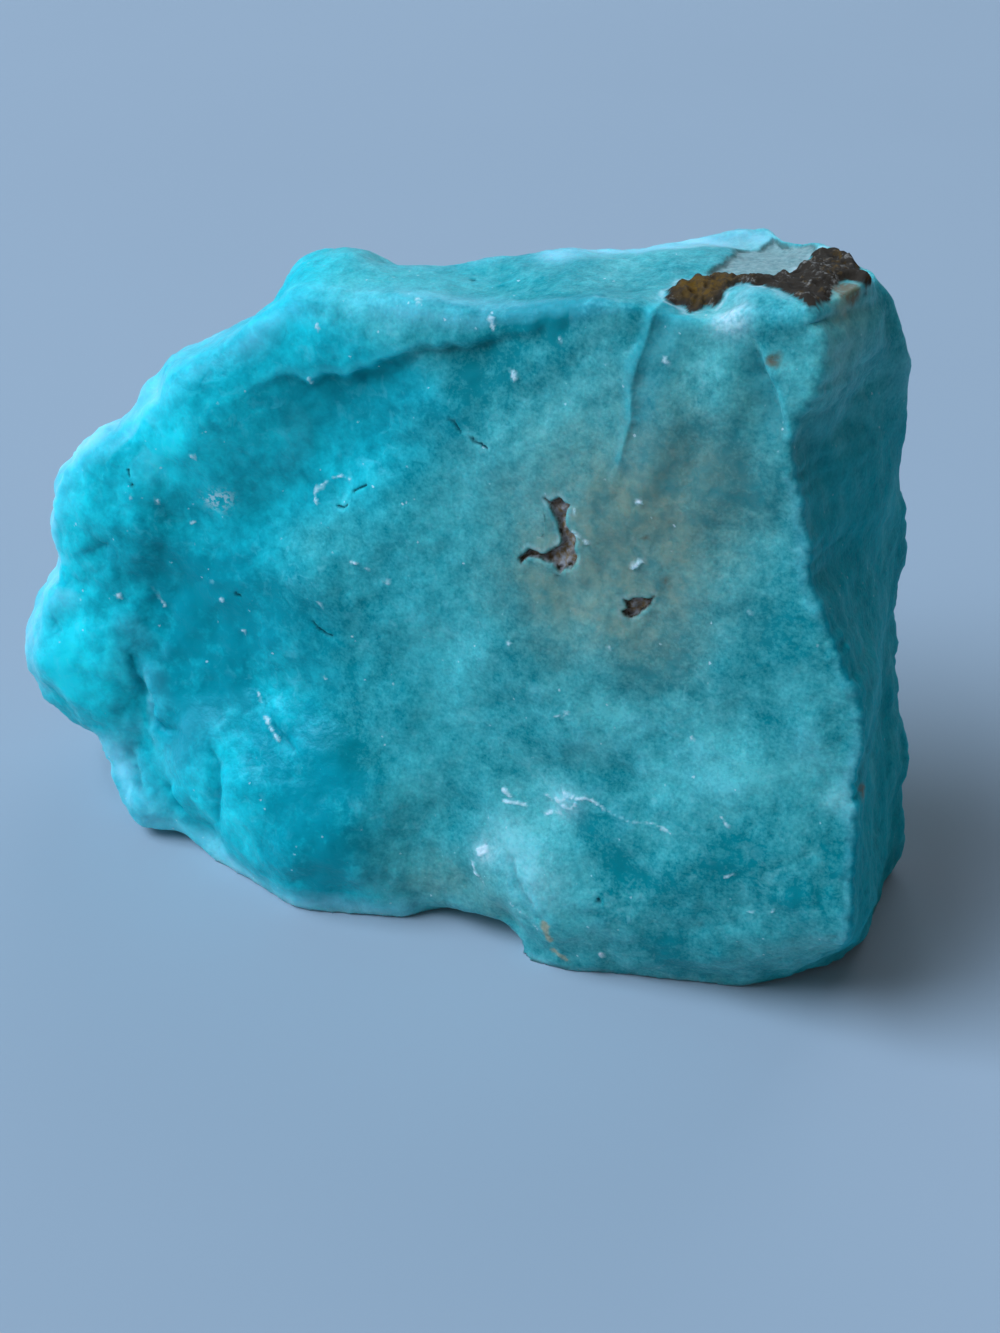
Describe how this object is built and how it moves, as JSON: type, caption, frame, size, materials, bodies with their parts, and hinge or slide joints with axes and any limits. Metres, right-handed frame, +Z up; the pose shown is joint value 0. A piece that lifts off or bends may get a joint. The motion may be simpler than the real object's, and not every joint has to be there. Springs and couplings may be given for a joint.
{
  "type": "hemimorphite specimen",
  "caption": "Palm-sized slab of blue hemimorphite that stands on its broken foot, with rounded lobes down one edge and a rusty seam across its top.",
  "frame": {"origin": "middle of the foot: the centre of the bounding box, on the ground", "axes": "+Z up; the broad face looks along -Y and leans back; the flat broken side faces +X and the rounded lobes -X"},
  "size_m": [0.066, 0.03, 0.0477],
  "materials": {
    "stone": "milky, slightly translucent blue stone with a waxy sheen and a dull rusty seam"
  },
  "bodies": {
    "root": {"hemimorphite_stone": "stone"}
  },
  "joints": []
}
